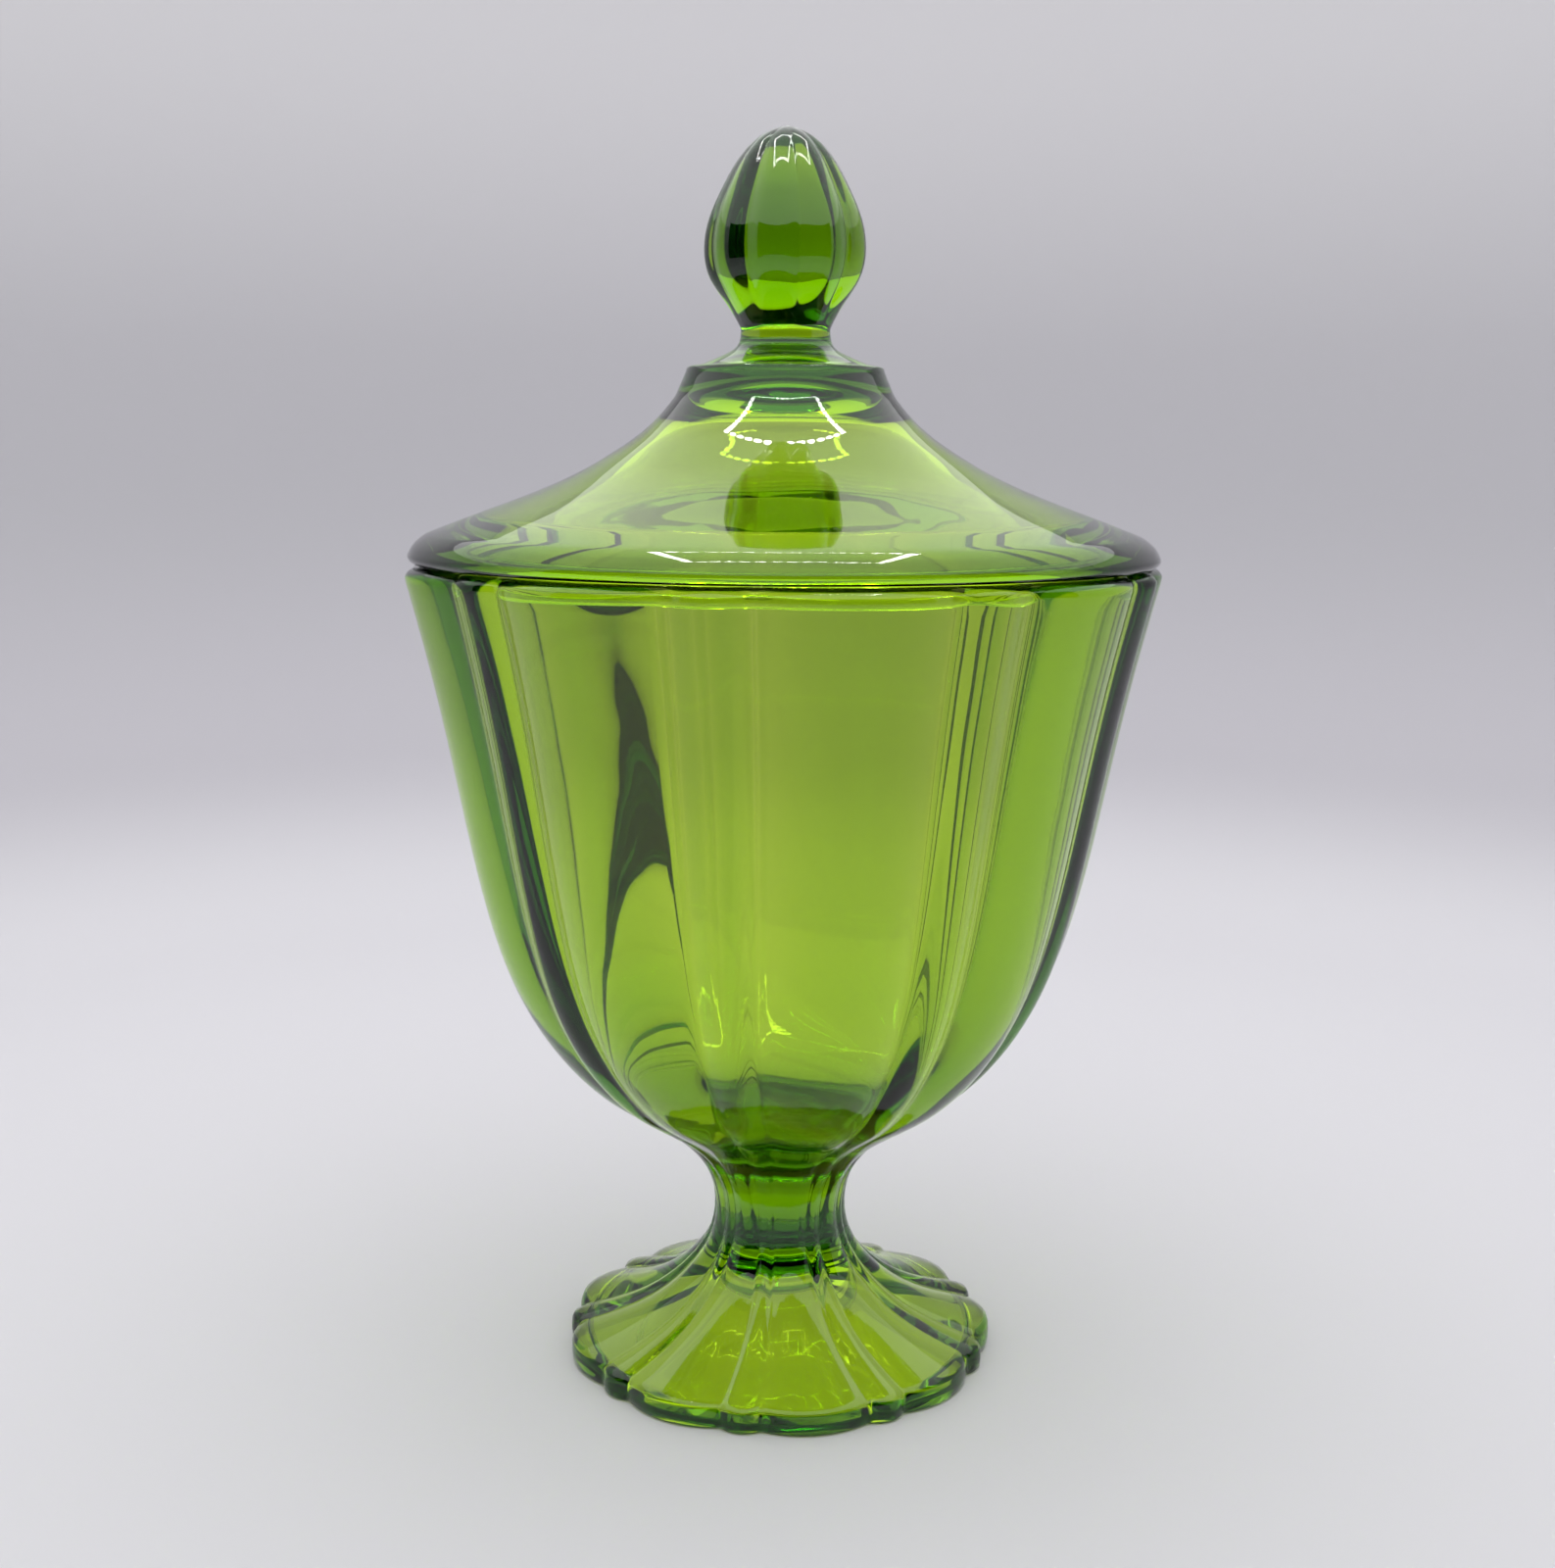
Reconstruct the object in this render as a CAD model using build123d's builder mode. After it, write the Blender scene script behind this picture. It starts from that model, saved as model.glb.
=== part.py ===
"""Covered candy dish in pressed glass: a fluted footed bowl and a lift-off lid with a bud finial.

Millimetres, +Z up, origin at the middle of the resting face under the foot. A wide flute faces -Y.
"""
import os
from math import cos, radians, sin

from build123d import *

os.makedirs("parts", exist_ok=True)

# Footed bowl, measured over the wide flutes
rim_radius = 70.0
rim_height = 153.2
foot_radius = 41.6
stem_radius = 12.8
stem_height = 28.0
foot_edge = 4.9
rim_round = 2.0
wall = 7.0
mouth_round = 1.2
foot_wall = 5.4
foot_ring = 5.0

# Flutes: wide and narrow ones take turns round the dish
flute_pairs = 9
narrow_angle = 10.8
pitch_angle = 360 / flute_pairs
wide_angle = pitch_angle - narrow_angle
groove_share = 0.052
foot_extra = 0.028
narrow_inset = 0.25

# Lid, heights above its seat
seat_gap = 0.3
lid_inset = 1.1
lid_height = 77.8
flange_rise = 5.2
flange_round = 3.3
lid_wall = 4.6
ring_clearance = 0.9
ring_drop = 3.6
ring_thickness = 3.2
collar_base = 30.4
collar_top = 35.4
collar_radius = 18.1
collar_flare = 1.8
neck_radius = 8.15
neck_height = 42.2
bud_radius = 14.9
bud_petals = 9
petal_share = 0.085


def at_angle(radius, angle):
    """A point in the section plane, with angle 0 facing -Y."""
    return (radius * sin(radians(angle)), -radius * cos(radians(angle)))


def fluted_outline(radius, groove):
    """Lines of one closed outline: convex wide and narrow flutes that meet in grooves."""
    bottom = radius - groove
    for pair in range(flute_pairs):
        middle = pair * pitch_angle
        flutes = (
            (middle, wide_angle / 2, radius),
            (middle + pitch_angle / 2, narrow_angle / 2, radius - narrow_inset * groove),
        )
        for centre, half, crest in flutes:
            ThreePointArc(
                at_angle(bottom, centre - half), at_angle(crest, centre), at_angle(bottom, centre + half)
            )


def petal_outline(radius, groove):
    """Lines of one closed outline: equal convex petals with a crease facing -Y."""
    step = 360 / bud_petals
    for petal in range(bud_petals):
        start = petal * step
        ThreePointArc(
            at_angle(radius - groove, start),
            at_angle(radius, start + step / 2),
            at_angle(radius - groove, start + step),
        )


# Outline over the wide flutes, from the foot's edge up the stem and the bowl to the lip
foot_top_radius = foot_radius - 0.6
foot_span = foot_top_radius - stem_radius
foot_rise = stem_height - foot_edge
bowl_span = rim_radius - stem_radius
bowl_rise = rim_height - rim_round - stem_height
crest_points = [
    (stem_radius + across * foot_span, foot_edge + up * foot_rise)
    for across, up in ((1, 0), (0.72, 0.1), (0.44, 0.255), (0.21, 0.475), (0.055, 0.73))
] + [
    (stem_radius + across * bowl_span, stem_height + up * bowl_rise)
    for across, up in (
        (0, 0), (0.04, 0.075), (0.19, 0.142), (0.37, 0.197), (0.545, 0.28), (0.677, 0.385),
        (0.755, 0.49), (0.815, 0.61), (0.87, 0.74), (0.93, 0.87), (1, 1),
    )
]
crest_curve = Spline(*crest_points)
foot_share = 0.21
stations = 28


def groove_depth(share, radius):
    """Depth of the grooves across the axis, a share of the radius that grows over the foot."""
    return radius * (groove_share + foot_extra * max(0.0, 1 - share / foot_share))


def moved_in(curve, shares, distance):
    """Points of a curve moved to its inner side by a distance."""
    points = []
    for share in shares:
        place = curve @ share
        way = (curve % share).normalized()
        points.append((place.X - distance * way.Y, place.Y + distance * way.X))
    return points


def crown(curve, end):
    """Height at which an arc centred on the axis, carrying on the curve's end, meets the axis."""
    place = curve @ end
    way = (curve % end).normalized()
    sphere = place.X / abs(way.Y)
    centre = place.Y + place.X * way.X / way.Y
    return centre - sphere if end == 0 else centre + sphere


# Inside of the bowl, and the hollow under the foot
inner_curve = Spline(*moved_in(crest_curve, (0.42, 0.5, 0.58, 0.68, 0.8, 0.9, 0.97), wall))
floor_height = crown(inner_curve, 0)
mouth_radius = rim_radius - wall
hollow_curve = Spline(
    (foot_radius - foot_ring, 0), *moved_in(crest_curve, (0.04, 0.075, 0.11, 0.14), foot_wall)
)
hollow_top = crown(hollow_curve, 1)

with BuildPart() as footed_bowl:
    # Foot: a short fluted wall with rounded edges
    for height, radius, groove in (
        (0, foot_radius - 0.7, 1.4),
        (0.9, foot_radius, 1.5),
        (foot_edge - 1.4, foot_radius, 1.6),
        (foot_edge - 0.5, foot_radius - 0.15, 2.2),
        (foot_edge, foot_top_radius, groove_depth(0, foot_top_radius)),
    ):
        with BuildSketch(Plane.XY.offset(height)):
            with BuildLine():
                fluted_outline(radius, groove)
            make_face()
    loft()
    # Upper face of the foot, stem and bowl: sections at even steps along the outline
    for station in range(stations + 1):
        share = station / stations
        place = crest_curve @ share
        with BuildSketch(Plane.XY.offset(place.Y)):
            with BuildLine():
                fluted_outline(place.X, groove_depth(share, place.X))
            make_face()
    loft()
    # Rounded lip
    for rise, inset in ((0, 0), (0.5 * rim_round, 0.08 * rim_round), (0.85 * rim_round, 0.3 * rim_round),
                        (rim_round, 0.6 * rim_round)):
        with BuildSketch(Plane.XY.offset(rim_height - rim_round + rise)):
            with BuildLine():
                fluted_outline(rim_radius - inset, groove_depth(1, rim_radius))
            make_face()
    loft()
    # Cavity with a round floor and a rounded mouth
    with BuildSketch(Plane.XZ):
        with BuildLine():
            add(inner_curve)
            TangentArc(inner_curve @ 0, (0, floor_height), tangent=-(inner_curve % 0))
            Line(inner_curve @ 1, (mouth_radius, rim_height - mouth_round))
            TangentArc(
                (mouth_radius, rim_height - mouth_round),
                (mouth_radius + mouth_round, rim_height),
                tangent=(0, 1),
            )
            Polyline(
                (mouth_radius + mouth_round, rim_height),
                (mouth_radius + mouth_round, rim_height + 1),
                (0, rim_height + 1),
                (0, floor_height),
            )
        make_face()
    revolve(axis=Axis.Z, mode=Mode.SUBTRACT)
    # Hollow under the foot
    with BuildSketch(Plane.XZ):
        with BuildLine():
            add(hollow_curve)
            TangentArc(hollow_curve @ 1, (0, hollow_top), tangent=hollow_curve % 1)
            Polyline((0, hollow_top), (0, 0), hollow_curve @ 0)
        make_face()
    revolve(axis=Axis.Z, mode=Mode.SUBTRACT)
footed_bowl.part.label = "footed_bowl"
export_step(footed_bowl.part, "parts/footed_bowl.step")

# Lid outlines
seat = rim_height + seat_gap
flange_radius = rim_radius - lid_inset
ring_radius = mouth_radius - ring_clearance
dome_foot = (flange_radius - flange_round, seat + flange_rise)
dome_top = (collar_radius + collar_flare, seat + collar_base)
dome_curve = Spline(*[
    (dome_top[0] + across * (dome_foot[0] - dome_top[0]), dome_foot[1] + up * (dome_top[1] - dome_foot[1]))
    for across, up in (
        (1, 0), (0.83, 0.118), (0.655, 0.235), (0.5, 0.347), (0.36, 0.47), (0.24, 0.6),
        (0.14, 0.727), (0.06, 0.865), (0, 1),
    )
])
under_curve = Spline(*moved_in(dome_curve, (0.17, 0.35, 0.55, 0.75, 0.9), lid_wall))
under_top = crown(under_curve, 1)
bud_rise = lid_height - neck_height
bud_curve = Spline(*[
    (across * bud_radius, seat + neck_height + up * bud_rise)
    for across, up in (
        (neck_radius / bud_radius, 0), (0.72, 0.12), (0.935, 0.255), (1, 0.4), (0.945, 0.54),
        (0.79, 0.69), (0.54, 0.865), (0.27, 0.965), (0.1, 0.995),
    )
])

with BuildPart() as lid:
    # Flange, dome, collar and neck
    with BuildSketch(Plane.XZ):
        with BuildLine():
            Polyline((0, under_top), (0, seat + neck_height), (neck_radius, seat + neck_height))
            ThreePointArc(
                (neck_radius, seat + neck_height),
                (
                    neck_radius + 0.3 * (collar_radius - neck_radius),
                    seat + collar_top + 0.32 * (neck_height - collar_top),
                ),
                (collar_radius - 1.8, seat + collar_top),
            )
            Polyline(
                (collar_radius - 1.8, seat + collar_top),
                (collar_radius - 0.5, seat + collar_top - 0.1),
                (collar_radius, seat + collar_top - 0.6),
                dome_top,
            )
            add(dome_curve)
            ThreePointArc(
                dome_foot,
                (flange_radius - 0.3 * flange_round, seat + 0.62 * flange_rise),
                (flange_radius, seat + 0.9),
            )
            Polyline(
                (flange_radius, seat + 0.9),
                (flange_radius - 0.9, seat),
                (ring_radius, seat),
                (ring_radius - 0.4, seat - ring_drop),
                (ring_radius - ring_thickness, seat - ring_drop),
                under_curve @ 0,
            )
            add(under_curve)
            TangentArc(under_curve @ 1, (0, under_top), tangent=under_curve % 1)
        make_face()
    revolve(axis=Axis.Z)
    # Bud of convex petals that close at the tip
    petal_steps = 14
    for step in range(petal_steps + 1):
        place = bud_curve @ (step / petal_steps)
        groove = petal_share * place.X * min(1.0, step / 3)
        with BuildSketch(Plane.XY.offset(place.Y)):
            with BuildLine():
                petal_outline(place.X, groove)
            make_face()
    loft()
lid.part.label = "lid"
export_step(lid.part, "parts/lid.step")
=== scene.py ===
from math import asin, cos, pi, radians, sin

import bpy
import numpy as np
from bpy.props import FloatProperty, FloatVectorProperty, IntProperty, PointerProperty, StringProperty
from mathutils import Matrix, Vector


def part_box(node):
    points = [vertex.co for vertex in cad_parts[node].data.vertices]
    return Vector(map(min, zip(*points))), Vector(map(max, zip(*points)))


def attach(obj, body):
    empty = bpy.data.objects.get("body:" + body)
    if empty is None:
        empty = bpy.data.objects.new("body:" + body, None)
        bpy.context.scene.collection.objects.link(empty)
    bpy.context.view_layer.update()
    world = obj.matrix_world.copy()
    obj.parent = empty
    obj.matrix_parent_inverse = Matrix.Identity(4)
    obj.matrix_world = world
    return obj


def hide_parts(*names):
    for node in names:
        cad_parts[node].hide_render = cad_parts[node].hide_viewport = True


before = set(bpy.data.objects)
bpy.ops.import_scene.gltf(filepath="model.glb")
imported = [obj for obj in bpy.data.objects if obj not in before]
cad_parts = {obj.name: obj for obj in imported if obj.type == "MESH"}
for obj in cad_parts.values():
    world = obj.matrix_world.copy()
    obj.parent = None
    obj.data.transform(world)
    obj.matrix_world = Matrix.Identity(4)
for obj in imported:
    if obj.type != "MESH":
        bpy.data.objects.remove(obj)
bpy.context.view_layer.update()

bl_info = {
    "name": "Covered Candy Dish",
    "version": (1, 0, 0),
    "blender": (4, 5, 0),
    "location": "3D View > Sidebar > Candy Dish",
    "description": "Builds the pressed-glass bowl and lid of a covered candy dish, and its stage",
    "category": "Add Mesh",
}

BOWL_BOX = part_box("footed_bowl")
LID_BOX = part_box("lid")

# Steps round the axis and along the outline of each glass piece
AROUND = 540
ALONG = 184
# Length that one radian of turn counts as, when rings are spread along an outline
TURN_LENGTH = 0.0022
# Angle from the dish's front to the camera
CAMERA_TURN = radians(9.9)


def linear(code):
    """An sRGB hex colour as linear RGBA."""
    parts = [int(code[i:i + 2], 16) / 255 for i in (1, 3, 5)]
    return [p / 12.92 if p <= 0.04045 else ((p + 0.055) / 1.055) ** 2.4 for p in parts] + [1.0]


# Outlines -------------------------------------------------------------------------------------

# Foot and bowl over the wide flutes, as shares of their spans across and up
FOOT_LINE = ((1, 0), (0.72, 0.1), (0.44, 0.255), (0.21, 0.475), (0.055, 0.73))
BOWL_LINE = (
    (0, 0), (0.04, 0.075), (0.19, 0.142), (0.37, 0.197), (0.545, 0.28), (0.677, 0.385),
    (0.755, 0.49), (0.815, 0.61), (0.87, 0.74), (0.93, 0.87), (1, 1),
)
DOME_LINE = (
    (1, 0), (0.83, 0.118), (0.655, 0.235), (0.5, 0.347), (0.36, 0.47), (0.24, 0.6),
    (0.14, 0.727), (0.06, 0.865), (0, 1),
)
BUD_LINE = (
    (0.547, 0), (0.72, 0.12), (0.935, 0.255), (1, 0.4), (0.945, 0.54),
    (0.79, 0.69), (0.54, 0.865), (0.27, 0.965), (0.06, 1.0),
)


def smooth_line(points, count=400):
    """The natural cubic spline through the points, as count points evenly spread along its chords."""
    points = np.array(points, float)
    at = np.concatenate(([0], np.cumsum(np.linalg.norm(np.diff(points, axis=0), axis=1))))
    gaps = np.diff(at)
    size = len(points)
    matrix = np.eye(size)
    right = np.zeros_like(points)
    for i in range(1, size - 1):
        matrix[i, i - 1:i + 2] = gaps[i - 1], 2 * (gaps[i - 1] + gaps[i]), gaps[i]
        right[i] = 6 * ((points[i + 1] - points[i]) / gaps[i] - (points[i] - points[i - 1]) / gaps[i - 1])
    bend = np.linalg.solve(matrix, right)
    places = np.linspace(0, at[-1], count)
    span = np.clip(np.searchsorted(at, places, side="right") - 1, 0, size - 2)
    gap = gaps[span][:, None]
    back = (places - at[span])[:, None] / gap
    ahead = 1 - back
    return (
        ahead * points[span] + back * points[span + 1]
        + gap ** 2 / 6 * ((ahead ** 3 - ahead) * bend[span] + (back ** 3 - back) * bend[span + 1])
    )


def along(line, share):
    """The point and unit direction at a share of a line of many points."""
    place = share * (len(line) - 1)
    i = min(int(place), len(line) - 2)
    way = line[i + 1] - line[i]
    return line[i] + (place - i) * way, way / np.linalg.norm(way)


def moved_in(line, shares, distance):
    """Points of a line moved to its inner side."""
    points = []
    for share in shares:
        place, way = along(line, share)
        points.append((place[0] - distance * way[1], place[1] + distance * way[0]))
    return points


def arc(centre, radius, start, end, count):
    """Points of an arc in the section plane, with angles in degrees."""
    turns = np.radians(np.linspace(start, end, count))
    return np.column_stack((centre[0] + radius * np.cos(turns), centre[1] + radius * np.sin(turns)))


def crown(place, way, upward):
    """Points from a place to the axis, on an arc centred on the axis that carries on the line there."""
    radius = place[0] / abs(way[1])
    centre = place[1] + place[0] * way[0] / way[1]
    sign = 1 if upward else -1
    turn = asin(place[0] / radius)
    turns = np.linspace(turn, 0, 40)
    return np.column_stack((radius * np.sin(turns), centre + sign * radius * np.cos(turns)))


def even(line, count):
    """A line of (across, up, groove) respaced to count points, closer where it turns."""
    steps = np.linalg.norm(np.diff(line[:, :2], axis=0), axis=1)
    keep = np.concatenate(([True], steps > 1e-7))
    line = line[keep]
    ways = np.diff(line[:, :2], axis=0)
    steps = np.linalg.norm(ways, axis=1)
    turns = np.zeros(len(line))
    unit = ways / steps[:, None]
    turns[1:-1] = np.arccos(np.clip((unit[1:] * unit[:-1]).sum(axis=1), -1, 1))
    cost = steps + TURN_LENGTH * (turns[1:] + turns[:-1]) / 2
    at = np.concatenate(([0], np.cumsum(cost)))
    places = np.linspace(0, at[-1], count)
    return np.column_stack([np.interp(places, at, line[:, i]) for i in range(3)])


def bulge(crest, bottom, half):
    """Centre distance and radius of the arc that has its crest and both bottoms at those radii."""
    centre = (crest ** 2 - bottom ** 2) / (2 * (crest - bottom * cos(half)))
    return centre, crest - centre


def scalloped(crest, groove, lobes, soft):
    """Radii round the axis of an outline of convex lobes, given as (middle, half angle, inset share).

    The lobes are joined by a soft maximum, so soft sets how round the bottoms of the grooves are."""
    angles = np.arange(AROUND) * 2 * pi / AROUND
    if groove < 1e-6:
        return np.full(AROUND, crest)
    bottom = crest - groove
    total = np.zeros(AROUND)
    for middle, half, inset in lobes:
        centre, radius = bulge(crest - inset * groove, bottom, half)
        turn = (angles - middle + pi) % (2 * pi) - pi
        reach = radius ** 2 - (centre * np.sin(turn)) ** 2
        lobe = np.where(
            (np.abs(turn) < 2 * half) & (reach > 0),
            centre * np.cos(turn) + np.sqrt(np.maximum(reach, 0)), bottom - 20 * soft,
        )
        total += np.exp(np.clip((lobe - bottom) / soft, -30, 60))
    return bottom + soft * np.log(total)


def glass_piece(name, outline, shape):
    """A closed mesh turned round the axis.

    The outline runs from the axis under the piece to the axis on top, as (across, up, groove)."""
    rings = even(outline, ALONG)
    radii = np.array([shape(across, up, groove) for across, up, groove in rings[1:-1]])
    angles = np.arange(AROUND) * 2 * pi / AROUND
    ups = rings[1:-1, 1][:, None] * np.ones(AROUND)
    verts = np.stack((radii * np.sin(angles), -radii * np.cos(angles), ups), axis=-1).reshape(-1, 3)
    verts = np.vstack((verts, (0, 0, rings[0, 1]), (0, 0, rings[-1, 1])))
    first, last = len(verts) - 2, len(verts) - 1
    step = np.arange(AROUND)
    after = (step + 1) % AROUND
    faces = []
    for ring in range(len(radii) - 1):
        low, high = ring * AROUND, (ring + 1) * AROUND
        faces += np.column_stack((low + step, low + after, high + after, high + step)).tolist()
    top = (len(radii) - 1) * AROUND
    faces += [(first, b, a) for a, b in zip(step.tolist(), after.tolist())]
    faces += [(last, top + a, top + b) for a, b in zip(step.tolist(), after.tolist())]
    mesh = bpy.data.meshes.new(name)
    mesh.from_pydata(verts.tolist(), [], faces)
    mesh.validate()
    mesh.shade_smooth()
    piece = bpy.data.objects.new(name, mesh)
    bpy.context.scene.collection.objects.link(piece)
    return piece


def joined(*parts):
    """One outline from runs of points; each run comes with its groove depths, or one depth for all."""
    rows = []
    for points, grooves in parts:
        points = np.atleast_2d(np.array(points, float))
        rows.append(np.column_stack((points, np.broadcast_to(grooves, len(points)))))
    return np.vstack(rows)


# Materials ------------------------------------------------------------------------------------

def add_node(tree, kind, settings=None, **links):
    """Adds a node, sets its values and its sockets' values, and links sockets to other outputs."""
    node = tree.nodes.new(kind)
    for key, value in (settings or {}).items():
        if isinstance(key, int):
            node.inputs[key].default_value = value
        elif hasattr(node, key):
            setattr(node, key, value)
        else:
            node.inputs[key].default_value = value
    for socket, source in links.items():
        tree.links.new(source, node.inputs[socket.replace("_", " ")])
    return node


def new_material(name):
    """An empty node material and its tree."""
    material = bpy.data.materials.new(name)
    material.use_nodes = True
    material.node_tree.nodes.clear()
    return material, material.node_tree


def pressed_glass(name, look):
    """Soda-lime glass, pressed in an iron mould and fire-polished.

    The body is clear and coloured all through, so thick places go deep green and thin ones
    yellow-green. The polish leaves a glossy skin with shallow waves from the mould."""
    material, tree = new_material(name)
    place = add_node(tree, "ShaderNodeTexCoord").outputs["Object"]
    # Waves about 9 mm long, as the chilled skin of pressed glass has
    waves = add_node(
        tree, "ShaderNodeTexNoise", {"Scale": 110.0, "Detail": 0.0},
        Vector=place,
    )
    skin = add_node(
        tree, "ShaderNodeBump", {"Strength": look.wave_strength, "Distance": 0.001},
        Height=waves.outputs["Fac"],
    )
    shader = add_node(
        tree, "ShaderNodeBsdfPrincipled",
        {
            "Base Color": (1, 1, 1, 1),
            "Roughness": 0.0,
            "IOR": look.glass_ior,
            "Transmission Weight": 1.0,
        },
        Normal=skin.outputs["Normal"],
    )
    body = add_node(
        tree, "ShaderNodeVolumeAbsorption",
        {"Color": tuple(look.glass_colour) + (1.0,), "Density": look.glass_density},
    )
    add_node(
        tree, "ShaderNodeOutputMaterial",
        Surface=shader.outputs["BSDF"], Volume=body.outputs["Volume"],
    )
    return material


def matt_sheet(name, tones):
    """Seamless background paper, matt, with light and shade painted into its colour by height; tones are
    (height, sRGB colour), from the table up.
    """
    material, tree = new_material(name)
    place = add_node(tree, "ShaderNodeNewGeometry").outputs["Position"]
    height = add_node(tree, "ShaderNodeSeparateXYZ", Vector=place).outputs["Z"]
    top = tones[-1][0]
    share = add_node(
        tree, "ShaderNodeMapRange", {"From Min": 0.0, "From Max": top},
        Value=height,
    )
    ramp = add_node(tree, "ShaderNodeValToRGB", Fac=share.outputs["Result"])
    ramp.color_ramp.interpolation = "EASE"
    for stop in tones[1:-1]:
        ramp.color_ramp.elements.new(stop[0] / top)
    for element, (_, code) in zip(ramp.color_ramp.elements, tones):
        element.color = linear(code)
    ramp.color_ramp.elements[-1].position = 1.0
    shader = add_node(
        tree, "ShaderNodeBsdfPrincipled", {"Roughness": 0.9, "Specular IOR Level": 0.1},
        Base_Color=ramp.outputs["Color"],
    )
    add_node(tree, "ShaderNodeOutputMaterial", Surface=shader.outputs["BSDF"])
    return material


def plain_material(name, code, strength=0.0):
    """One matt colour, or a lamp's glow where strength is above zero."""
    material, tree = new_material(name)
    if strength:
        glow = add_node(tree, "ShaderNodeEmission", {"Color": linear(code), "Strength": strength})
        surface = glow.outputs["Emission"]
    else:
        matt = add_node(
            tree, "ShaderNodeBsdfPrincipled",
            {"Base Color": linear(code), "Roughness": 0.9, "Specular IOR Level": 0.0},
        )
        surface = matt.outputs["BSDF"]
    add_node(tree, "ShaderNodeOutputMaterial", Surface=surface)
    return material


# Sizes and looks ------------------------------------------------------------------------------

def length(name, description, default):
    """A length in metres that can't be negative."""
    return FloatProperty(
        name=name, description=description, default=default, min=0.0, unit="LENGTH", precision=5
    )


class DishSizes(bpy.types.PropertyGroup):
    """Sizes of the bowl and the lid, in metres"""

    rim_radius: length("Rim radius", "From the axis to the wide flutes at the rim", 0.070)
    rim_height: length("Rim height", "From the table to the top of the lip", BOWL_BOX[1][2])
    rim_round: length("Lip rounding", "Height of the lip's outer rounding", 0.002)
    mouth_round: length("Mouth rounding", "Radius of the mouth's inner edge", 0.0012)
    wall: length("Bowl wall", "Glass under a wide flute", 0.007)
    foot_radius: length("Foot radius", "From the axis to the foot's edge", 0.0416)
    foot_edge: length("Foot edge", "Height of the foot's outer wall", 0.0049)
    foot_wall: length("Foot wall", "Glass over the hollow of the foot", 0.0054)
    foot_ring: length("Foot ring", "Width of the ring the dish stands on", 0.005)
    stem_radius: length("Stem radius", "Narrowest part of the stem", 0.0128)
    stem_height: length("Stem height", "Height of the narrowest part of the stem", 0.028)
    flute_pairs: IntProperty(
        name="Flute pairs", description="Pairs of a wide and a narrow flute", default=9, min=3
    )
    narrow_angle: FloatProperty(
        name="Narrow flute", description="Angle that one narrow flute takes",
        default=radians(10.8), subtype="ANGLE",
    )
    groove_share: FloatProperty(
        name="Groove depth", description="Share of the radius", default=0.051, min=0.001
    )
    foot_extra: FloatProperty(
        name="Foot grooves", description="Extra depth share at the foot's edge", default=0.028
    )
    narrow_inset: FloatProperty(
        name="Narrow inset", description="Share of the groove that narrow flutes stand back",
        default=0.25,
    )
    groove_soft: length("Groove rounding", "Softness of the bottom of each groove at the rim", 0.0012)
    seat: length("Lid seat", "Height of the flange's underside", BOWL_BOX[1][2] + 0.0003)
    flange_radius: length("Flange radius", "From the axis to the lid's edge", LID_BOX[1][0])
    flange_rise: length("Flange rise", "Height of the lid's rounded edge", 0.0052)
    flange_round: length("Flange rounding", "Reach of the lid's rounded edge", 0.0033)
    lid_wall: length("Lid wall", "Glass of the dome", 0.0046)
    ring_clearance: length("Ring clearance", "From the locating ring to the mouth", 0.0009)
    ring_thickness: length("Ring thickness", "Width of the locating ring", 0.0032)
    collar_base: length("Collar base", "Height of the collar's foot over the seat", 0.0304)
    collar_top: length("Collar top", "Height of the collar's top over the seat", 0.0354)
    collar_radius: length("Collar radius", "From the axis to the collar's top edge", 0.0181)
    collar_flare: length("Collar flare", "How much wider the collar's foot is", 0.0018)
    neck_radius: length("Neck radius", "Narrowest part of the finial", 0.00815)
    neck_height: length("Neck height", "Height of the neck over the seat", 0.0422)
    bud_radius: length("Bud radius", "Widest part of the bud", 0.0149)
    bud_petals: IntProperty(name="Petals", description="Petals round the bud", default=9, min=3)
    petal_share: FloatProperty(
        name="Petal creases", description="Depth as a share of the radius", default=0.085
    )


class DishLook(bpy.types.PropertyGroup):
    """Glass, paper and light"""

    glass_colour: FloatVectorProperty(
        name="Glass colour", description="Light that passes the glass", subtype="COLOR", size=3,
        default=(0.798, 0.899, 0.044),
    )
    glass_density: FloatProperty(
        name="Glass depth", description="Strength of the colour per metre", default=360.0
    )
    glass_ior: FloatProperty(
        name="Refraction", description="Index of soda-lime glass", default=1.52
    )
    wave_strength: FloatProperty(
        name="Waves", description="Strength of the mould's waves", default=0.02
    )
    # The paper tones are painted light and shade: lighter on the table and high up, darker where it
    # curves up and on the wall
    paper_table_lit: StringProperty(
        name="Paper, table", description="sRGB colour on the table", default="#E2E1E4"
    )
    paper_bend_shade: StringProperty(
        name="Paper, bend", description="sRGB colour where it curves up", default="#C7C5CA"
    )
    paper_wall_shade: StringProperty(
        name="Paper, wall", description="sRGB colour of the wall", default="#BDBCC0"
    )
    paper_top_lit: StringProperty(
        name="Paper, top", description="sRGB colour higher up", default="#D3D2D4"
    )
    ceiling_glow: FloatProperty(
        name="Ceiling", description="Brightness of the glowing ceiling", default=1.5
    )


# Pieces ---------------------------------------------------------------------------------------

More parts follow.
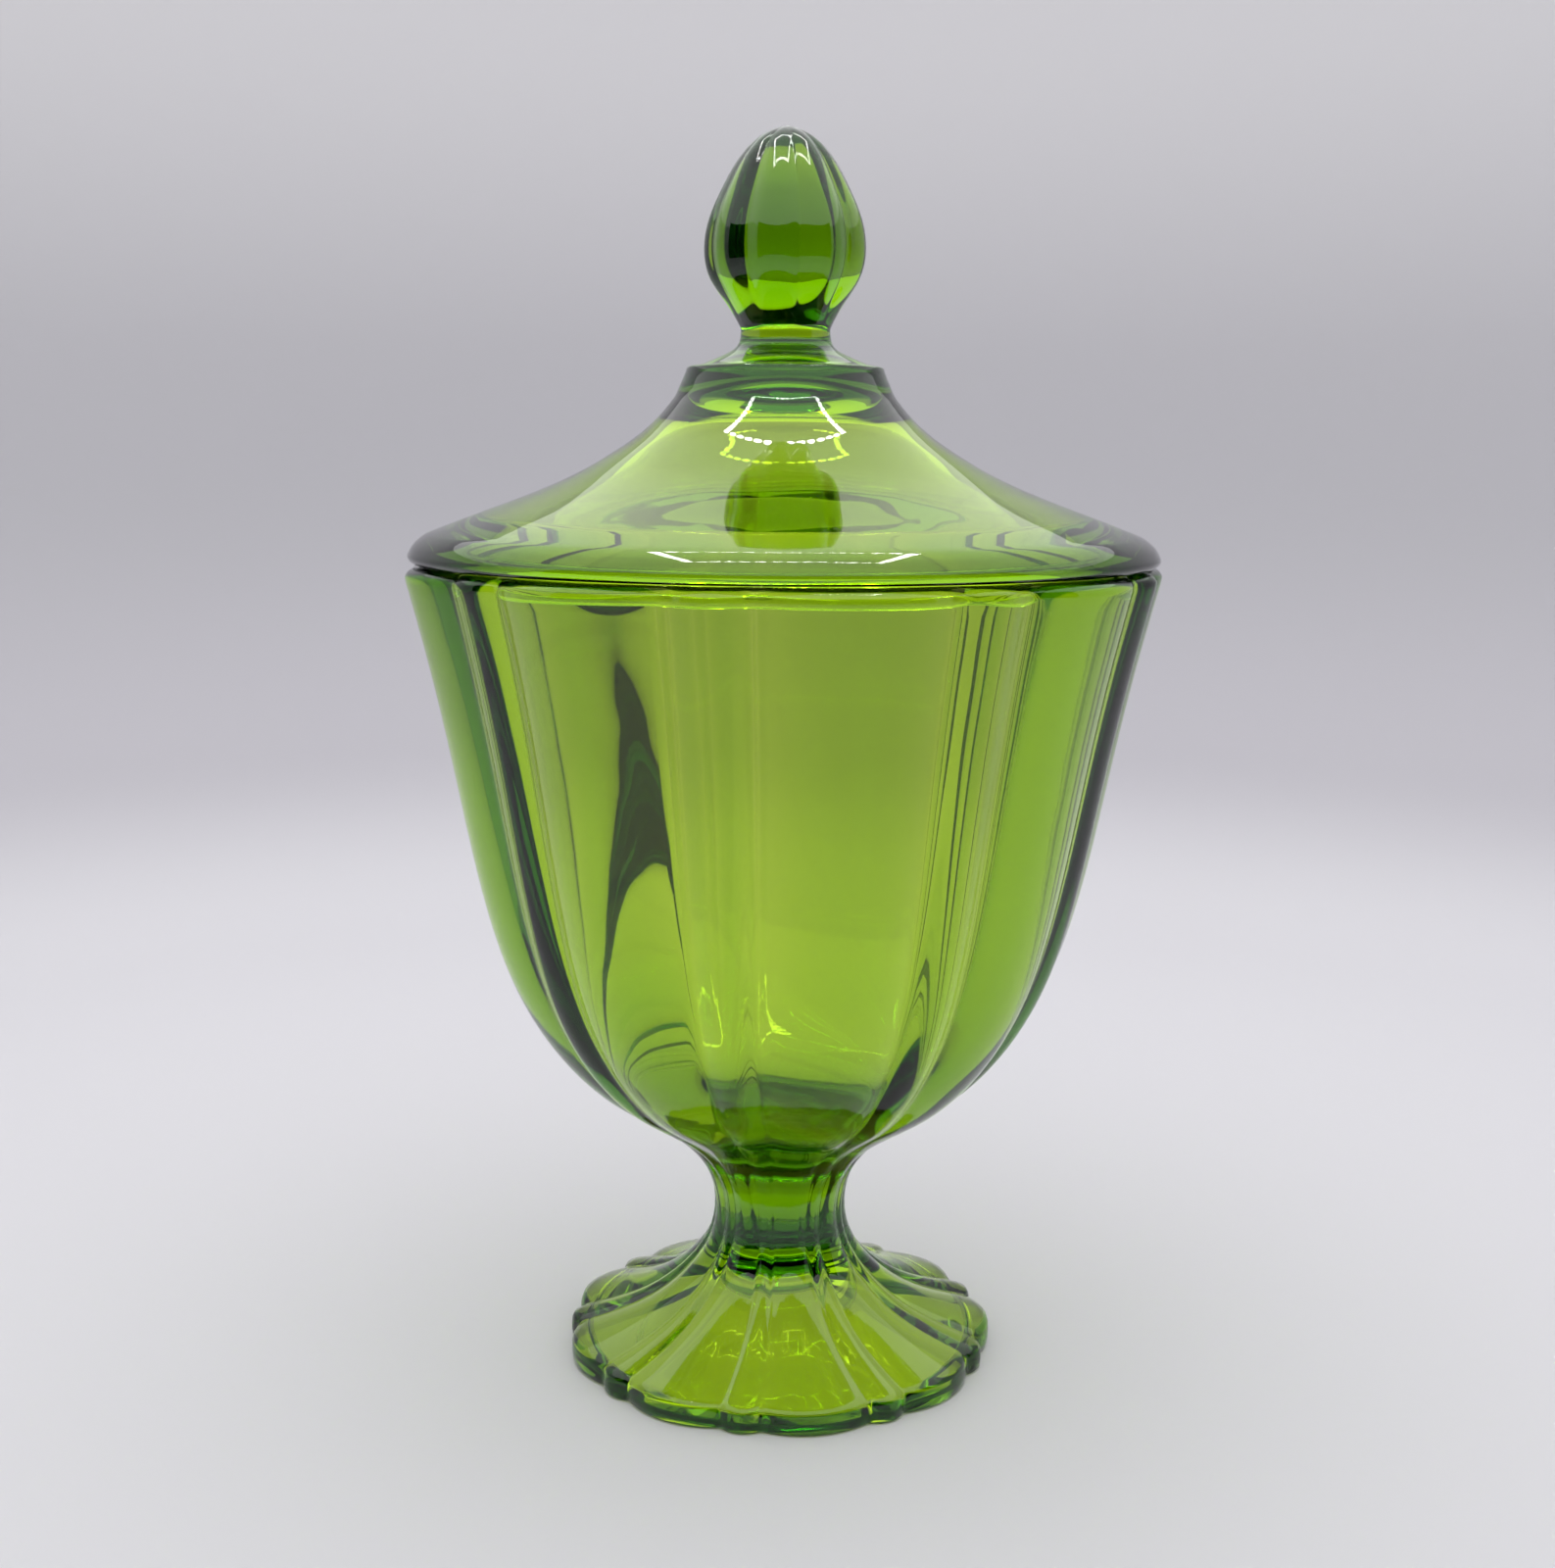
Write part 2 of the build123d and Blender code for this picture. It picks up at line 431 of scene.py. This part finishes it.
class DISH_OT_bowl(bpy.types.Operator):
    """Builds the fluted bowl, stem and foot in one piece of glass"""

    bl_idname = "dish.bowl"
    bl_label = "Footed Bowl"

    def execute(self, context):
        s = context.scene.dish_sizes
        look = context.scene.dish_look
        edge = s.foot_edge
        foot_top = s.foot_radius - 0.0006
        # Share of the outline, from the foot's edge, over which the foot's extra depth fades
        foot_share = 0.21
        crest = smooth_line(
            [
                (
                    s.stem_radius + a * (foot_top - s.stem_radius),
                    edge + u * (s.stem_height - edge),
                )
                for a, u in FOOT_LINE
            ] + [
                (
                    s.stem_radius + a * (s.rim_radius - s.stem_radius),
                    s.stem_height + u * (s.rim_height - s.rim_round - s.stem_height),
                )
                for a, u in BOWL_LINE
            ]
        )
        shares = np.linspace(0, 1, len(crest))
        foot_depth = s.foot_extra * np.maximum(0, 1 - shares / foot_share)
        depth = crest[:, 0] * (s.groove_share + foot_depth)
        rim_depth = depth[-1]
        inner = smooth_line(moved_in(crest, (0.42, 0.5, 0.58, 0.68, 0.8, 0.9, 0.97), s.wall))
        mouth = s.rim_radius - s.wall
        ring_inside = s.foot_radius - s.foot_ring
        hollow = smooth_line(
            [(ring_inside, 0)] + moved_in(crest, (0.04, 0.075, 0.11, 0.14), s.foot_wall)
        )
        ring_round, low_round, lip_round = 0.0006, 0.0011, 0.0016
        # The foot's outer wall above its lower rounding, with the groove depth at each place
        foot_side = (
            (s.foot_radius, edge - 0.0016),
            (s.foot_radius - 0.00008, edge - 0.0008),
            (s.foot_radius - 0.00025, edge - 0.0003),
        )
        foot_side_depths = (0.0019, 0.0021, 0.0026)
        lip_top = (
            (s.rim_radius - 0.0013, s.rim_height - 0.0002),
            (s.rim_radius - 0.0022, s.rim_height),
        )
        outline = joined(
            (crown(*along(hollow, 1), upward=True)[::-1], 0),
            (hollow[::-1][1:-4], 0),
            (arc((ring_inside + 0.0007, ring_round), ring_round, 200, 268, 6), 0),
            ([(s.foot_radius - 0.0013, 0)], 0.0016),
            (arc((s.foot_radius - low_round, low_round), low_round, -88, -4, 8), 0.0018),
            (foot_side, foot_side_depths),
            (crest[2:], depth[2:]),
            (arc((s.rim_radius - lip_round, s.rim_height - 0.002), lip_round, 12, 60, 6), rim_depth),
            (lip_top, rim_depth),
            (arc((mouth + s.mouth_round, s.rim_height - s.mouth_round), s.mouth_round, 88, 178, 8), 0),
            (inner[::-1], 0),
            (crown(*along(inner, 0), upward=False), 0),
        )
        pitch = 2 * pi / s.flute_pairs
        narrow = s.narrow_angle / 2
        lobes = []
        for pair in range(s.flute_pairs):
            lobes.append((pair * pitch, pitch / 2 - narrow, 0))
            lobes.append(((pair + 0.5) * pitch, narrow, s.narrow_inset))

        def shape(across, up, groove):
            # Grooves are crisp at the foot and reach their full softness below the rim
            soft = s.groove_soft * (0.15 + 0.85 * min(1, 1.2 * up / s.rim_height))
            return scalloped(across, groove, lobes, soft)

        piece = glass_piece("bowl_glass", outline, shape)
        piece.data.materials.append(pressed_glass("Pressed glass, fire-polished (bowl)", look))
        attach(piece, "bowl")
        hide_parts("footed_bowl")
        return {"FINISHED"}


class DISH_OT_lid(bpy.types.Operator):
    """Builds the domed lid with its flange, collar and bud finial in one piece of glass"""

    bl_idname = "dish.lid"
    bl_label = "Lid"

    def execute(self, context):
        s = context.scene.dish_sizes
        look = context.scene.dish_look
        seat, flange, rise = s.seat, s.flange_radius, s.flange_rise
        foot = np.array((flange - s.flange_round, seat + rise))
        top = np.array((s.collar_radius + s.collar_flare, seat + s.collar_base))
        dome = smooth_line([
            (top[0] + a * (foot[0] - top[0]), foot[1] + u * (top[1] - foot[1]))
            for a, u in DOME_LINE
        ])
        under = smooth_line(moved_in(dome, (0.17, 0.35, 0.55, 0.75, 0.9), s.lid_wall))
        ring = s.rim_radius - s.wall - s.ring_clearance
        ring_low = LID_BOX[0][2]
        height = LID_BOX[1][2] - seat
        bud = smooth_line([
            (a * s.bud_radius, seat + s.neck_height + u * (height - s.neck_height))
            for a, u in BUD_LINE
        ])
        # The creases deepen over the lowest 3/14 of the bud's outline
        crease = s.petal_share * bud[:, 0] * np.clip(np.linspace(0, 1, len(bud)) * 14 / 3, 0, 1)
        flare = smooth_line([
            (s.collar_radius - 0.0018, seat + s.collar_top),
            (
                s.neck_radius + 0.3 * (s.collar_radius - s.neck_radius),
                seat + s.collar_top + 0.32 * (s.neck_height - s.collar_top),
            ),
            (s.neck_radius + 0.0006, seat + s.neck_height - 0.003),
            tuple(bud[0]),
        ])
        ring_inside = ring - s.ring_thickness
        ring_round, edge_round, collar_round = 0.0007, 0.0013, 0.0008
        ring_step = smooth_line([under[8], (ring_inside + 0.0002, ring_low + 0.0009)], 12)
        # The inside corner between the locating ring and the flange
        ring_root = (
            (ring - 0.0001, seat - 0.0006),
            (ring + 0.0002, seat - 0.0001),
            (ring + 0.0008, seat),
        )
        flange_side = smooth_line([
            (flange, seat + 0.0015),
            (flange - 0.3 * s.flange_round, seat + 0.62 * rise),
            tuple(foot),
        ], 20)
        outline = joined(
            (crown(*along(under, 1), upward=True)[::-1], 0),
            (under[::-1][1:-8], 0),
            (ring_step, 0),
            (arc((ring_inside + 0.0009, ring_low + ring_round), ring_round, 200, 270, 6), 0),
            (arc((ring - 0.0011, ring_low + ring_round), ring_round, 270, 355, 6), 0),
            (ring_root, 0),
            (arc((flange - edge_round, seat + edge_round), edge_round, 272, 356, 9), 0),
            (flange_side, 0),
            (dome[4:-3], 0),
            ([(s.collar_radius + 0.0002, seat + s.collar_top - 0.0012)], 0),
            (
                arc(
                    (s.collar_radius - 0.0007, seat + s.collar_top - collar_round),
                    collar_round, 20, 85, 7,
                ),
                0,
            ),
            (flare[2:-6], 0),
            (bud[6:], crease[6:]),
            ([(0, bud[-1][1])], 0),
        )
        step = 2 * pi / s.bud_petals
        petals = [((i + 0.5) * step, step / 2, 0) for i in range(s.bud_petals)]

        def shape(across, up, groove):
            # Shallow creases get less rounding, so that they don't fill up
            return scalloped(across, groove, petals, min(0.0004, 0.25 * groove + 1e-6))

        piece = glass_piece("lid_glass", outline, shape)
        piece.data.materials.append(pressed_glass("Pressed glass, fire-polished (lid)", look))
        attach(piece, "cover")
        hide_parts("lid")
        return {"FINISHED"}


class DISH_OT_stage(bpy.types.Operator):
    """Builds the paper sweep, the lights and the camera"""

    bl_idname = "dish.stage"
    bl_label = "Stage"

    def execute(self, context):
        look = context.scene.dish_look
        self.sweep(look)
        self.lights(context, look)
        self.flags()
        self.lamp_frame()
        self.under_glow(context.scene.dish_sizes)
        self.camera(context)
        return {"FINISHED"}

    def sweep(self, look):
        """Paper all round: flat under the dish, then curving up to a wall."""
        wall, curve = 0.56, 0.22
        outline = [(0.0, 0.0), (0.1, 0.0), (0.2, 0.0), (0.3, 0.0)]
        outline += [tuple(p) for p in arc((wall - curve, curve), curve, -90, 0, 30)]
        outline += [(wall, 0.3 + 0.1 * i) for i in range(12)]
        verts, faces = [], []
        around = 128
        for across, up in outline[1:]:
            for step in range(around):
                turn = 2 * pi * step / around
                verts.append((across * sin(turn), -across * cos(turn), up))
        centre = len(verts)
        verts.append((0, 0, 0))
        for ring in range(len(outline) - 2):
            for step in range(around):
                after = (step + 1) % around
                low, high = ring * around, (ring + 1) * around
                faces.append((low + step, high + step, high + after, low + after))
        faces += [(centre, step, (step + 1) % around) for step in range(around)]
        mesh = bpy.data.meshes.new("paper_sweep")
        mesh.from_pydata(verts, [], faces)
        mesh.shade_smooth()
        paper = bpy.data.objects.new("paper_sweep", mesh)
        bpy.context.scene.collection.objects.link(paper)
        # Painted light and shade by height: lighter on the table and higher up, darker at the bend and on
        # the wall
        tones = (
            (0.0, look.paper_table_lit),
            (0.05, look.paper_bend_shade),
            (0.155, look.paper_wall_shade),
            (0.36, look.paper_top_lit),
        )
        mesh.materials.append(matt_sheet("Background paper, matt, painted light and shade", tones))

    def lights(self, context, look):
        """A weak even fill and one wide, domed, glowing ceiling."""
        world = bpy.data.worlds.new("Studio")
        context.scene.world = world
        world.use_nodes = True
        fill = world.node_tree.nodes["Background"]
        fill.inputs["Color"].default_value = linear("#F2F2F5")
        fill.inputs["Strength"].default_value = 0.2
        glow = plain_material("Ceiling cloth, lit from behind", "#F5F5F7", look.ceiling_glow)
        # The ceiling's highest point, and the radius and height of its rings
        apex = 0.64
        rings = ((0.2, 0.625), (0.36, 0.575), (0.48, 0.5), (0.55, 0.42))
        around = 48
        verts = [(0, 0, apex)]
        faces = []
        for across, up in rings:
            for i in range(around):
                turn = 2 * pi * i / around
                verts.append((across * sin(turn), across * cos(turn), up))
        for i in range(around):
            after = (i + 1) % around
            faces.append((0, 1 + i, 1 + after))
            for ring in range(len(rings) - 1):
                low = 1 + ring * around
                faces.append((low + i, low + around + i, low + around + after, low + after))
        ceiling = self.card("ceiling", verts, faces, glow)
        ceiling.visible_camera = False

    def flags(self):
        """Painted shade: a dark sheet standing for the unlit room, in an arc behind the camera, seen only
        through the glass and in its shine.
        """
        verts, faces = [], []
        around = 60
        radius, low, high = 0.52, 0.06, 0.62
        # Angles from the direction that the camera looks in
        start, end = radians(110), radians(250)
        for step in range(around + 1):
            turn = CAMERA_TURN + start + (end - start) * step / around
            for up in (low, high):
                verts.append((radius * sin(turn), radius * cos(turn), up))
        for step in range(around):
            a = 2 * step
            faces.append((a, a + 1, a + 3, a + 2))
        # Near-black sheet that puts painted shade of the unlit room into the glass's refractions and
        # reflections
        self.unseen("flags", verts, faces, plain_material("Painted shade of the dark room", "#1C1D21"))

    def lamp_frame(self):
        """Four rows of small lamps in a rectangle overhead."""
        verts, faces = [], []
        ahead = Vector((sin(CAMERA_TURN), cos(CAMERA_TURN), 0))
        right = Vector((ahead.y, -ahead.x, 0))
        # The rectangle's half width, its near and far sides seen from the camera, and its height
        half, near, far, high = 0.118, -0.095, 0.1, 0.5
        # Gaps between lamps along each side, and one lamp's outline
        wide_gaps, deep_gaps = 13, 12
        sides, lamp_radius = 10, 0.008
        places = []
        for i in range(wide_gaps + 1):
            across = -half + 2 * half * i / wide_gaps
            places += [(across, near), (across, far)]
        for i in range(1, deep_gaps):
            depth = near + (far - near) * i / deep_gaps
            places += [(-half, depth), (half, depth)]
        for across, depth in places:
            middle = right * across + ahead * depth + Vector((0, 0, high))
            base = len(verts)
            for side in range(sides):
                turn = 2 * pi * side / sides
                verts.append((
                    middle.x + lamp_radius * cos(turn), middle.y + lamp_radius * sin(turn), middle.z
                ))
            faces.append(tuple(range(base, base + sides)))
        dots = plain_material("Lamp dots", "#FFFFFF", 22.0)
        dots.cycles.emission_sampling = "NONE"
        self.unseen("lamp_frame", verts, faces, dots)

    def under_glow(self, sizes):
        """A weak green glow on the paper in the foot's hollow, for light that the glass gathers there."""
        reach = sizes.foot_radius - sizes.foot_ring - 0.001
        around, height = 48, 0.0002
        rim = [
            (reach * sin(2 * pi * i / around), reach * cos(2 * pi * i / around), height)
            for i in range(around)
        ]
        glow = plain_material("Light gathered by the foot", "#D8F070", 0.44)
        self.unseen("under_glow", rim, [tuple(range(around))], glow)

    def card(self, name, verts, faces, material):
        """A stage mesh of one material."""
        mesh = bpy.data.meshes.new(name)
        mesh.from_pydata(verts, [], faces)
        mesh.materials.append(material)
        sheet = bpy.data.objects.new(name, mesh)
        bpy.context.scene.collection.objects.link(sheet)
        return sheet

    def unseen(self, name, verts, faces, material):
        """A stage mesh that shows only in the glass, not straight to the camera."""
        sheet = self.card(name, verts, faces, material)
        sheet.visible_camera = sheet.visible_diffuse = sheet.visible_shadow = False

    def camera(self, context):
        """The camera stands a little left of the front and looks down by about ten degrees."""
        away, height, side = 0.3656, 0.1743, 0.00093
        turn, pitch, roll = CAMERA_TURN, radians(9.748), radians(0.375)
        ahead = Vector((sin(turn), cos(turn), 0))
        right = Vector((cos(turn), -sin(turn), 0))
        look_way = ahead * cos(pitch) - Vector((0, 0, sin(pitch)))
        up = ahead * sin(pitch) + Vector((0, 0, cos(pitch)))
        leant_right = right * cos(roll) + up * sin(roll)
        leant_up = up * cos(roll) - right * sin(roll)
        data = bpy.data.cameras.new("camera")
        data.sensor_width = 36.0
        data.lens = 44.917
        data.clip_start = 0.01
        data.clip_end = 20.0
        camera = bpy.data.objects.new("camera", data)
        turned = Matrix((leant_right, leant_up, -look_way)).transposed().to_4x4()
        turned.translation = -ahead * away - right * side + Vector((0, 0, height))
        camera.matrix_world = turned
        scene = context.scene
        scene.collection.objects.link(camera)
        scene.camera = camera
        scene.view_settings.view_transform = "Standard"
        scene.cycles.use_denoising = True
        # Light crosses many glass faces on its way through the bowl and the lid
        scene.cycles.max_bounces = 32
        scene.cycles.transmission_bounces = 32
        scene.cycles.glossy_bounces = 12


class DISH_PT_panel(bpy.types.Panel):
    """Lists the dish's pieces, sizes and looks"""

    bl_idname = "DISH_PT_panel"
    bl_label = "Candy Dish"
    bl_space_type = "VIEW_3D"
    bl_region_type = "UI"
    bl_category = "Candy Dish"

    def draw(self, context):
        layout = self.layout
        for operator in PIECES:
            layout.operator(operator.bl_idname)
        for group in (context.scene.dish_sizes, context.scene.dish_look):
            column = layout.column()
            for key in group.__annotations__:
                column.prop(group, key)


PIECES = (DISH_OT_bowl, DISH_OT_lid, DISH_OT_stage)
CLASSES = (DishSizes, DishLook, *PIECES, DISH_PT_panel)


def register():
    for cls in CLASSES:
        bpy.utils.register_class(cls)
    bpy.types.Scene.dish_sizes = PointerProperty(type=DishSizes)
    bpy.types.Scene.dish_look = PointerProperty(type=DishLook)


def unregister():
    del bpy.types.Scene.dish_look
    del bpy.types.Scene.dish_sizes
    for cls in reversed(CLASSES):
        bpy.utils.unregister_class(cls)


def main():
    """Builds the dish and its stage."""
    register()
    bpy.ops.dish.bowl()
    bpy.ops.dish.lid()
    bpy.ops.dish.stage()


if __name__ == "__main__":
    main()
